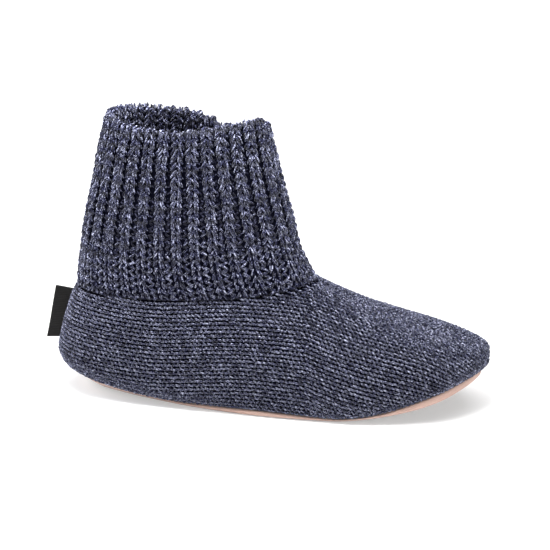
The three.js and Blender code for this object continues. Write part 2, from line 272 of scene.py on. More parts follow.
def foot_point(turn, rise):
    """The foot's outer face: rise is -1 at the sole's edge, 0 at the widest line and 1 at the seam."""
    turn, rise = np.broadcast_arrays(np.asarray(turn, float), np.asarray(rise, float))
    place, outward = widest(turn)
    edge = sole_height(turn, np.zeros_like(turn)) + on_last("lip", turn) + GAP
    belly = on_last("belly", turn)
    bend = np.minimum(rise, 0) * TUCK_ANGLE
    inset = on_last("tuck", turn) * (1 - np.cos(bend)) / (1 - math.cos(TUCK_ANGLE))
    under = place - outward * inset[..., None]
    under_z = edge + belly * (1 + np.sin(bend) / math.sin(TUCK_ANGLE))
    angle = np.radians(on_last("seam", turn))
    seam = oval(angle, *CUFF_SECTIONS[0][1:4])
    top = seam_height(angle)
    low = edge + belly
    crown = seam + (place - seam) * on_last("reach", turn)[..., None]
    t = np.maximum(rise, 0)
    w = [(1 - t) ** 3, 3 * t * (1 - t) ** 2, 3 * t * t * (1 - t), t**3]
    over = place * (w[0] + w[1])[..., None] + crown * w[2][..., None] + seam * w[3][..., None]
    heights = (low, low + on_last("wall", turn) * (top - low), top - on_last("drop", turn), top)
    over_z = sum(height * weight for height, weight in zip(heights, w))
    lower = rise <= 0
    plan = np.where(lower[..., None], under, over)
    return np.concatenate([plan, np.where(lower, under_z, over_z)[..., None]], -1)


def foot_inside(turn, rise, depth):
    """A point of the foot moved in from its outer face by a depth."""
    step = 0.004
    along = foot_point(turn + step, rise) - foot_point(turn - step, rise)
    up = foot_point(turn, np.minimum(1, rise + step)) - foot_point(turn, np.maximum(-1, rise - step))
    return foot_point(turn, rise) + unit(np.cross(along, up)) * depth


def cuff_ring(share, fractions):
    """At fractions of the way round the cuff: places, ways ahead and outward, angles, and its length."""
    angles = np.linspace(0, 2 * math.pi, OVAL_STEPS + 1)
    ring = oval(angles, *(cuff_column(name, np.array(share)) for name in ("back", "front", "half")))
    lengths = lengths_along(ring)
    angle = np.interp(np.mod(fractions, 1) * lengths[-1], lengths, angles)
    place = np.stack([np.interp(angle, angles, ring[:, k]) for k in (0, 1)], -1)
    near = 3  # steps to each side, for the direction
    tangents = unit(np.roll(ring[:-1], -near, 0) - np.roll(ring[:-1], near, 0))
    tangents = np.concatenate([tangents, tangents[:1]])
    ahead = unit(np.stack([np.interp(angle, angles, tangents[:, k]) for k in (0, 1)], -1))
    return place, ahead, np.stack([-ahead[:, 1], ahead[:, 0]], -1), angle, lengths[-1]


def rim_height(angle):
    return round_loop(RIM_HEIGHTS, angle / (2 * math.pi) * len(RIM_HEIGHTS))


def cuff_point(share, fractions, offset, above=0.0):
    """Places round the cuff at a share of its height, moved outwards by an offset and then up."""
    place, _, outward, angle, _ = cuff_ring(share, fractions)
    low = seam_height(angle) + GAP
    xy = place + outward * np.broadcast_to(offset, angle.shape)[:, None]
    z = low + share * (rim_height(angle) - low) + above
    return np.concatenate([xy, z[:, None]], 1)


# Meshes

def build(name, points, loops, starts, material, uvs=None, tone=None):
    """A mesh object from flat arrays, riding on the frame; points are design millimetres."""
    mesh = bpy.data.meshes.new(name)
    mesh.vertices.add(len(points))
    mesh.vertices.foreach_set("co", ((points + ORIGIN) * 0.001).astype(np.float32).ravel())
    mesh.loops.add(len(loops))
    mesh.loops.foreach_set("vertex_index", np.asarray(loops, np.int32))
    mesh.polygons.add(len(starts))
    mesh.polygons.foreach_set("loop_start", np.asarray(starts, np.int32))
    mesh.update(calc_edges=True)
    mesh.polygons.foreach_set("use_smooth", np.full(len(starts), True))
    if uvs is not None:
        layer = mesh.uv_layers.new(name="yarn")
        layer.data.foreach_set("uv", np.asarray(uvs, np.float32).ravel())
    if tone is not None:
        attribute = mesh.attributes.new("tone", "FLOAT", "POINT")
        attribute.data.foreach_set("value", np.asarray(tone, np.float32))
    mesh.materials.append(material)
    piece = bpy.data.objects.new(name, mesh)
    bpy.context.scene.collection.objects.link(piece)
    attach(piece, "root")
    return piece


def quads(faces):
    """Corner list and face starts of four-sided faces."""
    faces = np.asarray(faces)
    return faces.ravel(), np.arange(len(faces)) * 4


def ring_faces(rings, steps, closed):
    """Quads between rings of points, laid out ring after ring."""
    r = np.arange(rings if closed else rings - 1)[:, None]
    i = np.arange(steps)[None, :]
    j = (i + 1) % steps
    low, high = r * steps, ((r + 1) % rings) * steps
    return np.stack([low + i, high + i, high + j, low + j], -1).reshape(-1, 4)


def wall(name, rings, material):
    """A wall closed both round the foot and through its thickness."""
    loops, starts = quads(ring_faces(len(rings), len(rings[0]), True))
    return build(name, np.concatenate(rings), loops, starts, material)


def plate(name, rings, material):
    """A plate whose first and last rings are filled straight across."""
    steps = len(rings[0])
    faces = [tuple(f) for f in ring_faces(len(rings), steps, False)]
    for base, up in ((0, False), ((len(rings) - 1) * steps, True)):
        for i in range(steps // 2):
            corners = [base + k for k in (i, i + 1, steps - i - 1, (steps - i) % steps)]
            corners = list(dict.fromkeys(corners))
            faces.append(tuple(corners[::-1] if up else corners))
    loops = [k for f in faces for k in f]
    starts = np.concatenate([[0], np.cumsum([len(f) for f in faces])[:-1]])
    return build(name, np.concatenate(rings), loops, starts, material)


def around(pair, n):
    """Random values: the pair is their mean and spread."""
    mean, spread = pair
    return mean + rng.normal(0, spread, n)


def leg_shape():
    """Faces and yarn coordinates of one leg: rings of a tube with a point at each end."""
    body = ring_faces(LEG_RINGS, LEG_SIDES, False)
    first, last = LEG_RINGS * LEG_SIDES, LEG_RINGS * LEG_SIDES + 1
    i = np.arange(LEG_SIDES)
    j = (i + 1) % LEG_SIDES
    top = (LEG_RINGS - 1) * LEG_SIDES
    loops = np.concatenate([
        body.ravel(),
        np.stack([np.full(LEG_SIDES, first), i, j], -1).ravel(),
        np.stack([np.full(LEG_SIDES, last), top + j, top + i], -1).ravel(),
    ])
    sizes = np.concatenate([np.full(len(body), 4), np.full(2 * LEG_SIDES, 3)])
    ends = [-TIP_RINGS, LEG_RINGS - 1 + TIP_RINGS]
    ring_of = np.concatenate([np.repeat(np.arange(LEG_RINGS), LEG_SIDES), ends])
    along = 2 * ring_of / (LEG_RINGS - 1) - 1
    turn = np.concatenate([
        np.tile(np.stack([i, i, i + 1, i + 1], -1).ravel(), LEG_RINGS - 1),
        np.stack([i + 0.5, i, i + 1], -1).ravel(),
        np.stack([i + 0.5, i + 1, i], -1).ravel(),
    ]) / LEG_SIDES
    return loops, sizes, along, turn


def straight(centre, along, out):
    """Legs that lie straight on the fabric."""
    def line(axis):
        ways = [np.broadcast_to(unit(v)[:, None], (*axis.shape, 3)) for v in (along, out)]
        return centre[:, None] + ways[0] * axis[..., None], *ways
    return line


def legs(name, line, phase, length, radius, material, flat=0.85, dip=1.0, tilt=0.0, bow=0.0,
         strands=1, apart=0.0, twist=0.0):
    """Yarn legs: bent tubes that dip into the fabric at both ends, of one strand or of several wound
    together. line gives places, ways along and ways out at distances from the legs' middles; phase is where
    each leg starts on its yarn. flat is a strand's height over its width. dip is how deep the ends lie, tilt
    how much higher the far end lies, and bow how far the middle stands aside. apart is how far the strands
    lie from the leg's middle line, and twist the angle they wind through from its middle to an end. Sizes
    may be one number or one per leg."""
    n = len(phase)
    given = (length, radius, dip, tilt, bow, apart)
    length, radius, dip, tilt, bow, apart = (np.broadcast_to(np.asarray(v, float), (n,)) for v in given)
    s = np.linspace(-1, 1, LEG_RINGS)
    core, along, out = line(length[:, None] / 2 * s)
    side = np.cross(out, along)
    height = tilt[:, None] * s - dip[:, None] * np.abs(s) ** DIP_POWER
    sway = bow[:, None] * (1 - s**2)
    core = core + out * height[..., None] + side * sway[..., None]
    lap = 2 * math.pi * (np.arange(strands) / strands + rng.random((n, 1)))
    turned = lap[:, :, None] + twist * s
    aside, above = (apart[:, None, None] * wave(turned) for wave in (np.cos, np.sin))
    core = core[:, None] + side[:, None] * aside[..., None] + out[:, None] * above[..., None]
    n *= strands
    core = core.reshape(n, LEG_RINGS, 3)
    of_legs = (along, out, side, length, radius, phase)
    along, out, side, length, radius, phase = (np.repeat(v, strands, axis=0) for v in of_legs)
    theta = 2 * math.pi * np.arange(LEG_SIDES) / LEG_SIDES
    thick = radius[:, None] * np.sqrt(1 - TAPER * np.abs(s) ** TAPER_POWER)
    tube = (core[:, :, None] + side[:, :, None] * (thick[..., None] * np.cos(theta))[..., None]
            + out[:, :, None] * (flat * thick[..., None] * np.sin(theta))[..., None])
    tips = np.stack([core[:, end] + (along[:, end] * way - out[:, end] * TIP_SINK) * radius[:, None]
                     for end, way in ((0, -TIP_REACH), (-1, TIP_REACH))], 1)
    points = np.concatenate([tube.reshape(n, -1, 3), tips], 1)
    count = points.shape[1]
    loops, sizes, share, turn = leg_shape()
    all_loops = (loops[None] + (np.arange(n) * count)[:, None]).ravel()
    starts = np.concatenate([[0], np.cumsum(np.tile(sizes, n))[:-1]])
    u = share[loops] * length[:, None] / 2 + phase[:, None]
    uvs = np.stack([u, np.broadcast_to(turn, u.shape)], -1).reshape(-1, 2)
    tone = np.repeat(rng.random(n), count)
    return build(name, points.reshape(-1, 3), all_loops, starts, material, uvs, tone)


# Materials

MIX_FACTOR, MIX_A, MIX_B, MIX_RESULT = 0, 6, 7, 2  # the colour sockets of a mix node
BLACK, WHITE = (0, 0, 0, 1), (1, 1, 1, 1)


class Nodes:
    """A material's node tree, written as nested calls."""

    def __init__(self, name):
        self.material = bpy.data.materials.new(name)
        self.material.use_nodes = True
        self.tree = self.material.node_tree
        self.shader = self.tree.nodes["Principled BSDF"]

    def put(self, socket, value):
        if isinstance(value, bpy.types.NodeSocket):
            self.tree.links.new(value, socket)
        else:
            socket.default_value = value

    def add(self, kind, inputs=None, out=0, **settings):
        node = self.tree.nodes.new(kind)
        for key, value in settings.items():
            setattr(node, key, value)
        for key, value in (inputs or {}).items():
            self.put(node.inputs[key], value)
        return node.outputs[out]

    def place(self):
        return self.add("ShaderNodeTexCoord", out="Object")

    def split(self, vector):
        node = self.tree.nodes.new("ShaderNodeSeparateXYZ")
        self.put(node.inputs[0], vector)
        return node.outputs

    def math(self, operation, a, b=0.0):
        return self.add("ShaderNodeMath", {0: a, 1: b}, operation=operation)

    def line(self, value, start, rise):
        """start + rise * value"""
        return self.math("ADD", start, self.math("MULTIPLY", value, rise))

    def noise(self, vector, scale, detail=3.0, roughness=0.55):
        inputs = {"Vector": vector, "Scale": scale, "Detail": detail, "Roughness": roughness}
        return self.add("ShaderNodeTexNoise", inputs)

    def ramp(self, value, stops):
        node = self.tree.nodes.new("ShaderNodeValToRGB")
        while len(node.color_ramp.elements) < len(stops):
            node.color_ramp.elements.new(0.5)
        for element, (at, colour) in zip(node.color_ramp.elements, stops):
            element.position = at
            element.color = colour
        self.put(node.inputs[0], value)
        return node.outputs[0]

    def mix(self, factor, a, b, blend="MIX"):
        node = self.tree.nodes.new("ShaderNodeMix")
        node.data_type = "RGBA"
        node.blend_type = blend
        for key, value in ((MIX_FACTOR, factor), (MIX_A, a), (MIX_B, b)):
            self.put(node.inputs[key], value)
        return node.outputs[MIX_RESULT]

    def bump(self, height, strength, distance):
        return self.add("ShaderNodeBump", {"Height": height, "Strength": strength, "Distance": distance})

    def surface(self, **inputs):
        for key, value in inputs.items():
            self.put(self.shader.inputs[key.replace("_", " ")], value)
        return self.material


def srgb(r, g, b):
    """A colour given as the eight-bit numbers a picture editor shows."""
    linear = (((c / 255 + 0.055) / 1.055) ** 2.4 if c > 10 else c / 255 / 12.92 for c in (r, g, b))
    return (*linear, 1)


def grey(value):
    return (value, value, value, 1)


def yarn_material(name, twist, plies, shades, marl, flecks, fleck_rate):
    """Heathered yarn: plies of different shades wound slowly round each other, with pale and dark fibres,
    and painted shade in the grooves between the plies.
    twist is the length of a turn, marl how far the plies' shades differ, flecks how far the fibres' do,
    and fleck_rate how short the fibres are."""
    leg_apart = 731.0  # moves each leg to its own place in the noise
    fibre_rate = 1.6  # how thin the fibres are across a ply
    n = Nodes(name)
    u, v, _ = n.split(n.add("ShaderNodeUVMap", uv_map="yarn"))
    tone = n.add("ShaderNodeAttribute", out="Fac", attribute_name="tone")
    wound = n.math("MULTIPLY", n.math("ADD", v, n.math("DIVIDE", u, twist)), plies)
    ply = n.math("FLOORED_MODULO", n.math("FLOOR", wound), plies)
    leg = n.math("MULTIPLY", tone, leg_apart)
    ply_at = n.add("ShaderNodeCombineXYZ", {0: ply, 1: leg})
    pick = n.add("ShaderNodeTexWhiteNoise", {0: ply_at}, noise_dimensions="2D")
    fibre_at = {0: n.math("MULTIPLY", u, fleck_rate), 1: n.math("MULTIPLY", wound, fibre_rate), 2: leg}
    fibre = n.noise(n.add("ShaderNodeCombineXYZ", fibre_at), scale=1.0, detail=4.0, roughness=0.65)
    spread = n.math("MULTIPLY", n.math("SUBTRACT", fibre, 0.5), flecks)
    colour = n.ramp(n.math("ADD", n.line(pick, start=0.5 - marl / 2, rise=marl), spread), shades)
    groove = n.math("ABSOLUTE", n.math("SINE", n.math("MULTIPLY", wound, math.pi)))
    # painted shade: the colour darkens in the grooves between the plies; each leg's tone also differs at
    # random
    shade = n.math("MULTIPLY", n.line(tone, start=0.85, rise=0.3), n.line(groove, start=0.3, rise=0.9))
    shade = n.add("ShaderNodeCombineXYZ", {0: shade, 1: shade, 2: shade})
    colour = n.mix(1.0, colour, shade, blend="MULTIPLY")
    height = n.line(fibre, start=groove, rise=0.6)
    return n.surface(Base_Color=colour, Roughness=0.95, Specular_IOR_Level=0.15, Sheen_Weight=0.15,
                     Normal=n.bump(height, strength=0.8, distance=0.0004))


def shade_backing_material(name, colour):
    """The inside of the fabric, seen between the stitches: the navy yarn's colour darkened as painted shade,
    with a grain.
    """
    n = Nodes(name)
    grain = n.noise(n.place(), scale=900.0)
    dark, light = ((*[c * factor for c in colour[:3]], 1) for factor in (0.6, 1.4))
    return n.surface(Base_Color=n.mix(grain, dark, light), Roughness=1.0, Specular_IOR_Level=0.05,
                     Normal=n.bump(grain, strength=0.6, distance=0.0006))


def suede_material():
    """Napped suede, with painted shade: faces turned down are greyed and darkened."""
    n = Nodes("suede")
    at = n.place()
    patch = n.noise(at, scale=45.0, detail=4.0, roughness=0.6)
    nap = n.noise(at, scale=1500.0, detail=4.0, roughness=0.7)
    colour = n.ramp(patch, [(0.3, srgb(194, 162, 150)), (0.7, srgb(211, 180, 168))])
    colour = n.mix(n.ramp(nap, [(0.35, BLACK), (0.8, grey(0.5))]), colour, srgb(174, 141, 129))
    # painted shade: faces that turn down are mixed towards a dark grey
    facing_down = n.math("MULTIPLY", n.split(n.add("ShaderNodeNewGeometry", out="Normal"))[2], -1.0)
    colour = n.mix(n.ramp(facing_down, [(0.55, BLACK), (0.85, WHITE)]), colour, srgb(120, 112, 108))
    return n.surface(Base_Color=colour, Roughness=0.95, Specular_IOR_Level=0.1, Sheen_Weight=0.25,
                     Normal=n.bump(nap, strength=0.5, distance=0.0004))


def felt_material():
    """Grey felt of the insole."""
    n = Nodes("felt")
    fluff = n.noise(n.place(), scale=1100.0, detail=5.0, roughness=0.7)
    colour = n.ramp(fluff, [(0.3, srgb(52, 52, 60)), (0.75, srgb(104, 104, 114))])
    return n.surface(Base_Color=colour, Roughness=1.0, Specular_IOR_Level=0.05, Sheen_Weight=0.3,
                     Normal=n.bump(fluff, strength=0.8, distance=0.0008))


def ribbon_material():
    """Black woven ribbon: fine ribs across its width."""
    n = Nodes("ribbon")
    at = n.place()
    weave_settings = {"Vector": at, "Scale": 260.0, "Distortion": 1.0, "Detail": 2.0}
    weave = n.add("ShaderNodeTexWave", weave_settings, out="Fac", bands_direction="Z")
    grain = n.noise(at, scale=2600.0)
    colour = n.mix(n.math("MULTIPLY", weave, grain), srgb(4, 3, 3), srgb(20, 18, 18))
    return n.surface(Base_Color=colour, Roughness=0.62, Specular_IOR_Level=0.2, Sheen_Weight=0.03,
                     Normal=n.bump(weave, strength=0.5, distance=0.0003))


def floor_material():
    """A white studio floor that glows a little, so that it stays white round the shadow."""
    n = Nodes("floor")
    cloud = n.noise(n.place(), scale=3.0, detail=2.0)
    colour = n.ramp(cloud, [(0.0, grey(0.73)), (1.0, grey(0.75))])
    return n.surface(Base_Color=colour, Roughness=0.9, Specular_IOR_Level=0.1, Emission_Color=WHITE,
                     Emission_Strength=0.37)


SHADES = [
    (0.1, srgb(2, 3, 23)), (0.38, srgb(22, 24, 50)), (0.64, srgb(73, 76, 109)), (0.9, srgb(190, 194, 219)),
]
# painted shade: a darker copy of the yarn's shades, for stitches in the cuff's upper valleys and under its
# lower edge
SHADED_COLOURS = [(0.1, srgb(4, 5, 20)), (0.5, srgb(31, 32, 52)), (0.9, srgb(102, 104, 132))]
CUFF_YARN = yarn_material("cuff_yarn", twist=16.0, plies=2.0, shades=SHADES, marl=0.4, flecks=3.0,
                          fleck_rate=1.2)
SHADED_YARN = yarn_material("shaded_yarn", twist=16.0, plies=2.0, shades=SHADED_COLOURS, marl=0.4, flecks=2.0,
                          fleck_rate=1.1)
FOOT_YARN = yarn_material("foot_yarn", twist=20.0, plies=4.0, shades=SHADES, marl=0.35, flecks=3.6,
                          fleck_rate=1.5)
# painted shade: the backing under the stitches is darker than the yarn and stands for the shade between them
SHADE_BACKING = shade_backing_material("backing", srgb(9, 10, 24))
SUEDE, FELT, RIBBON = suede_material(), felt_material(), ribbon_material()


# The sole and the insole

def turns(count):
    """Even turns round the last."""
    return np.arange(count) * LAP / count


def sole_ring(t, inset, above):
    """A ring of points over the sole's lower face."""
    inset = np.full_like(t, inset)
    return np.concatenate([sole_outline(t, inset), (sole_height(t, inset) + above)[:, None]], 1)


def make_sole():
    t = turns(SOLE_STEPS)
    lip = on_last("lip", t)
    pucker = PUCKER * np.sin(t / LAP * 2 * math.pi * PUCKER_COUNT)

    def edge(inset, above):
        """A ring whose heights start from the sole's outline."""
        z = sole_height(t, np.zeros_like(t)) + above
        return np.concatenate([sole_outline(t, np.full_like(t, inset)), z[:, None]], 1)

    rings = [sole_ring(t, inset, 0.0) for inset in SOLE_INSETS + [SOLE_CORNER]]
    rings += [edge(SOLE_CORNER * (1 - math.sin(a)), SOLE_CORNER * (1 - math.cos(a)))
              for a in np.radians([30, 60, 90])]
    rings += [edge(-LIP_BULGE + pucker / 2, (SOLE_CORNER + lip) / 2),
              edge(pucker + LIP_TOP, lip - LIP_ROUNDING),
              edge(pucker + LIP_SHOULDER, lip),
              edge(LIP_WIDTH, lip)]
    upper = [LIP_FOOT, INSOLE_INSET] + [inset for inset in SOLE_INSETS[::-1] if inset > INSOLE_INSET]
    rings += [sole_ring(t, inset, SOLE_THICKNESS) for inset in upper]
    piece = plate("suede_sole", rings, SUEDE)
    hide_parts("sole")


def make_insole():
    t = turns(INSOLE_STEPS)
    low = SOLE_THICKNESS + GAP
    rings = [sole_ring(t, inset, low) for inset in INSOLE_INSETS]
    rings += [sole_ring(t, INSOLE_INSET + inset, low + INSOLE_THICKNESS * share)
              for inset, share in INSOLE_SIDE]
    rings += [sole_ring(t, inset, low + INSOLE_THICKNESS) for inset in INSOLE_INSETS[::-1][1:]]
    piece = plate("felt_insole", rings, FELT)
    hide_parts("insole")


# The foot

def make_foot_backing():
    t = turns(FOOT_STEPS)
    rises = np.concatenate([np.linspace(-1, 0, 8)[:-1], np.linspace(0, 1, 34)])
    rings = [foot_inside(t, r, FOOT_BACKING) for r in rises]
    rings += [foot_inside(t, r, FOOT_WALL) for r in rises[::-1]]
    piece = wall("foot_backing", rings, SHADE_BACKING)
    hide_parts("foot")


def half_sections(sign):
    """Curves up one half of the foot, from the back of the heel to the toe, each from the sole's edge.
    Up to the turn of the join they follow the last's sections. Ahead of it they swing round, within a
    distance, to straight cuts across the foot, which end on the ridge of the toe."""
    join, swing = 4.0, 30  # a turn, and millimetres
    first_cut, cut_step, toe_left = 1.2, 1.0, 0.5  # from the join, between cuts, and short of the toe tip
    rises = np.linspace(-1, 1, 161)
    curves = [foot_point(np.full_like(rises, sign * t), rises) for t in np.linspace(LAP / 2, join, 130)]
    dense = np.linspace(0, join + 0.8, 320)
    grid = foot_point(sign * dense[:, None], rises[None, :])
    ridge = grid[0, :, 0]
    upper, lower = rises > 0, rises <= 0
    start = curves[-1][:, 0]
    for x in np.arange(start[0] + first_cut, COLUMNS["along"][0] - toe_left, cut_step):
        wanted = x + (start - start[0]) * max(0.0, 1 - (x - start[0]) / swing)
        keep = np.flatnonzero(wanted <= ridge)
        t = np.array([np.interp(wanted[k], grid[::-1, k, 0], dense[::-1]) for k in keep])
        r = rises[keep]
        if keep[-1] < len(rises) - 1:
            t, r = np.append(t, 0.0), np.append(r, np.interp(-x, -ridge[upper], rises[upper]))
        if keep[0] > 0:
            t, r = np.append(0.0, t), np.append(np.interp(x, ridge[lower], rises[lower]), r)
        curves.append(foot_point(sign * t, r))
    return curves


def foot_rows(sign):
    """Rows of stitches on one half: for each, places, directions along, up and out, and distances.
    Rows follow the sole's edge behind the collar's front, and the ridge of the vamp ahead of it; there a
    last row follows the sole's edge too."""
    aligned_at = 100.0  # where the rows' stitches stand in step
    first, last = 0.8, 0.4  # least distances of a stitch from a row's ends
    near = 0.7  # distance to each side, for the direction up
    least_sections, least_girth = 6, 6
    edge_row = 0.9  # height of the row along the sole's edge
    edge_left, ridge_left = 0.5, 0.2  # least distances of a row from the sole's edge and from the top
    curves = half_sections(sign)
    arcs = [lengths_along(curve) for curve in curves]
    girths = np.array([arc[-1] for arc in arcs])
    ahead = np.array([c[-1, 0] > CUFF_SECTIONS[0][2] + 0.5 for c in curves])
    reference = girths[np.argmax(ahead)]
    shift = np.where(ahead, reference - girths, 0.0)
    pitch = reference / round(reference / FOOT_ROW)
    rows = []

    def add_row(k, local, held):
        """Row k, at a local distance up each of the held curves."""
        def at(d):
            return np.array([[np.interp(np.clip(local[i] + d, 0, girths[i]), arcs[i], curves[i][:, c])
                              for c in range(3)] for i in held])
        line = at(0.0)
        across = at(near) - at(-near)
        lengths = lengths_along(line)
        in_step = 0.5 * (k % 2) + rng.normal(0, FOOT_UNEVEN)
        middle = np.interp(aligned_at, line[:, 0], lengths) + FOOT_STITCH * in_step
        u = middle + FOOT_STITCH * np.arange(math.ceil((first - middle) / FOOT_STITCH),
                                             math.floor((lengths[-1] - last - middle) / FOOT_STITCH) + 1)
        u = u + rng.normal(0, FOOT_UNEVEN, len(u))

        def pick(a):
            return np.stack([np.interp(u, lengths, a[:, c]) for c in range(3)], -1)
        along, up = unit(pick(np.gradient(line, axis=0))), unit(pick(across))
        rows.append((pick(line), along, up, unit(np.cross(along, up)) * sign, u))

    for k in range(int(round(reference / pitch))):
        local = (k + 0.5) * pitch - shift
        held = np.flatnonzero((local > edge_left) & (local < girths - ridge_left))
        if len(held) >= least_sections:
            add_row(k, local, held)
    add_row(len(rows), np.full(len(girths), edge_row), np.flatnonzero(ahead & (girths > least_girth)))
    return rows


def make_foot_stitches():
    for sign, side in ((1, "outer"), (-1, "inner")):
        rows = foot_rows(sign)
        batches = [rows[: len(rows) // 2], rows[len(rows) // 2 :]]
        for batch, part in zip(batches, ("low", "high")):
            place, along, up, out, phase = (np.concatenate(column) for column in zip(*batch))
            n = len(place)
            slant = np.radians(around(FOOT_SLANT, n))
            direction = along * np.cos(slant)[:, None] - up * np.sin(slant)[:, None]
            radius = FOOT_RADIUS * around(FOOT_FULLNESS, n)
            depth = FOOT_SUNK * radius + rng.normal(0, FOOT_UNEVEN, n)
            line = straight(place - out * depth[:, None], direction, out)
            legs(f"foot_stitches_{side}_{part}", line, phase, around(FOOT_LEG, n), radius,
                 FOOT_YARN, flat=0.95, tilt=-0.25)


# The cuff

def rib(share):
    """Height of the ribs at a share of the cuff's height."""
    return float(cuff_column("rib", np.array(share)))


def stretch(share):
    """How far the seam stretches the ribs flat at a share of the height: 1 is wholly, 0 not at all."""
    f = np.clip((STRETCH_TOP - share) / STRETCH_OVER, 0, 1)
    return f * f * (3 - 2 * f)


def rib_crest(share):
    """Height above the cuff's wall of the middle line of the ribs' yarn."""
    return rib(share) * (1 - RIB_FLATTENED * stretch(share)) - CUFF_RADIUS


def rib_valley(share):
    """The same for the yarn in the valleys between the ribs."""
    sunk = VALLEY_SUNK * np.clip((share - SUNK_FROM) / SUNK_OVER, 0, 1)
    return -VALLEY_DEPTH + VALLEY_RAISED * stretch(share) - sunk


def make_cuff_backing():
    w = np.arange(CUFF_STEPS) / CUFF_STEPS
    wave = 0.5 - 0.5 * np.cos(2 * math.pi * w * RIB_COUNT)
    rings = []
    for share in np.concatenate([[0.0, 0.03], np.linspace(0.07, CUFF_TOP, 18)]):
        rings.append(cuff_point(share, w, -BACKING_DEPTH + BACKING_RIB * rib(share) * wave))
    for across in np.linspace(0.15, 0.85, 9):
        lift = BACKING_ROLL * (math.sin(math.pi * across) - 1) - BACKING_RIM_DROP
        inwards = BACKING_RIM_DEPTH * (1 - across) + (FOLDED - BACKING_RIM_DEPTH) * across
        rings.append(cuff_point(1.0, w, -inwards, lift))
    for share in np.linspace(CUFF_TOP, HEM_SHARE, 12):
        rings.append(cuff_point(share, w, BACKING_HEM_DEPTH - FOLDED))
    for share in np.linspace(HEM_SHARE - HEM_EDGE, 0, 12):
        rings.append(cuff_point(share, w, -CUFF_WALL))
    piece = wall("cuff_backing", rings, SHADE_BACKING)
    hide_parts("cuff")


class Path:
    """A line over the cuff, with its way round the cuff and the ribs' pitch, read at distances along it."""

    def __init__(self, line, round_way, pitch):
        self.lengths = lengths_along(line)
        self.columns = np.concatenate([line, np.gradient(line, axis=0), round_way, pitch[:, None]], 1).T

    def at(self, distance):
        """Place, up, round, out and pitch."""
        values = np.stack([np.interp(distance, self.lengths, column) for column in self.columns], -1)
        up, round_way = unit(values[..., 3:6]), unit(values[..., 6:9])
        return values[..., :3], up, round_way, unit(np.cross(up, round_way)), values[..., 9]


def cuff_paths(fractions, outside, inside, arch):
    """Paths up the outside, over the rim and down inside, at fractions round the cuff. outside is a path's
    height above the cuff's wall at each share, inside its depth in the hem, and arch how far it rises over
    the rim."""
    wall_top = 0.93
    lines, ways, pitches = [], [], []

    def add(share, offset, above=0.0):
        _, ahead, _, _, length = cuff_ring(share, fractions)
        lines.append(cuff_point(share, fractions, offset, above))
        ways.append(np.concatenate([ahead, np.zeros((len(ahead), 1))], 1))
        pitches.append(np.full(len(ahead), length / RIB_COUNT))

    for share in np.concatenate([[0.0, 0.02, 0.045], np.linspace(0.07, wall_top, 36)]):
        add(share, outside(share))
    low, high = inside - FOLDED, outside(CUFF_TOP)
    for a in math.pi * np.linspace(0.03, 0.97, 15):
        add(ARCH_START, (low + high) / 2 + (high - low) / 2 * math.cos(a), arch * math.sin(a))
    for share in np.linspace(wall_top, HEM_SHARE, 18):
        add(share, low)
    return [Path(*parts) for parts in zip(np.stack(lines, 1), np.stack(ways, 1), np.stack(pitches, 1))]


def even_steps(paths, step, start):
    """The number of a path and the distance along it, at even steps on every path."""
    along = [np.arange(start, path.lengths[-1] - 0.5, step) for path in paths]
    return np.concatenate([np.full(len(d), i) for i, d in enumerate(along)]), np.concatenate(along)


def on_paths(paths, number, distance):
    """Path.at for many paths at once: each row of distance is read on the path that number gives."""
    found = [np.empty((*distance.shape, 3)) for _ in range(4)] + [np.empty(distance.shape)]
    for i, path in enumerate(paths):
        for array, values in zip(found, path.at(distance[number == i])):
            array[number == i] = values
    return found


def make_rib_stitches():
    crests = (np.arange(RIB_COUNT) + 0.5) / RIB_COUNT
    paths = cuff_paths(crests, rib_crest, CUFF_RADIUS, RIB_ARCH)
    number, d = even_steps(paths, CUFF_STITCH, start=1.5)
    n = len(d)
    height = on_paths(paths, number, d)[0][:, 2]
    fuller = np.clip((height - RIB_FULL_FROM) / RIB_FULL_OVER, 0, 1)
    for name, hand, from_crest, lean, raised in RIB_LEGS:
        slant = np.radians(around((lean, RIB_LEAN_SPREAD), n))[:, None]
        aside = (from_crest + FULL_ASIDE * fuller)[:, None]
        sunk = around(RIB_SUNK, n)[:, None]

        def line(axis):
            place, up, way, out, _ = on_paths(paths, number, d[:, None] + raised + axis * np.cos(slant))
            across = hand * (aside - axis * np.sin(slant))
            along = up * np.cos(slant)[..., None] - way * (hand * np.sin(slant))[..., None]
            leaning = unit(out + way * hand * RIB_FACING)
            return place + way * across[..., None] - out * sunk[..., None], along, leaning

        strand = CUFF_STRAND * (1 + FULL_STRAND * fuller + rng.normal(0, STRAND_SPREAD, n))
        apart = (CUFF_RADIUS - CUFF_STRAND) * (1 + FULL_APART * fuller)
        legs(f"cuff_stitches_{name}", line, d, around(RIB_LEG, n), strand, CUFF_YARN, flat=1.0,
             dip=RIB_DIP - FULL_DIP * fuller, tilt=0.2, bow=-0.25 * hand, strands=3, apart=apart, twist=1.1)


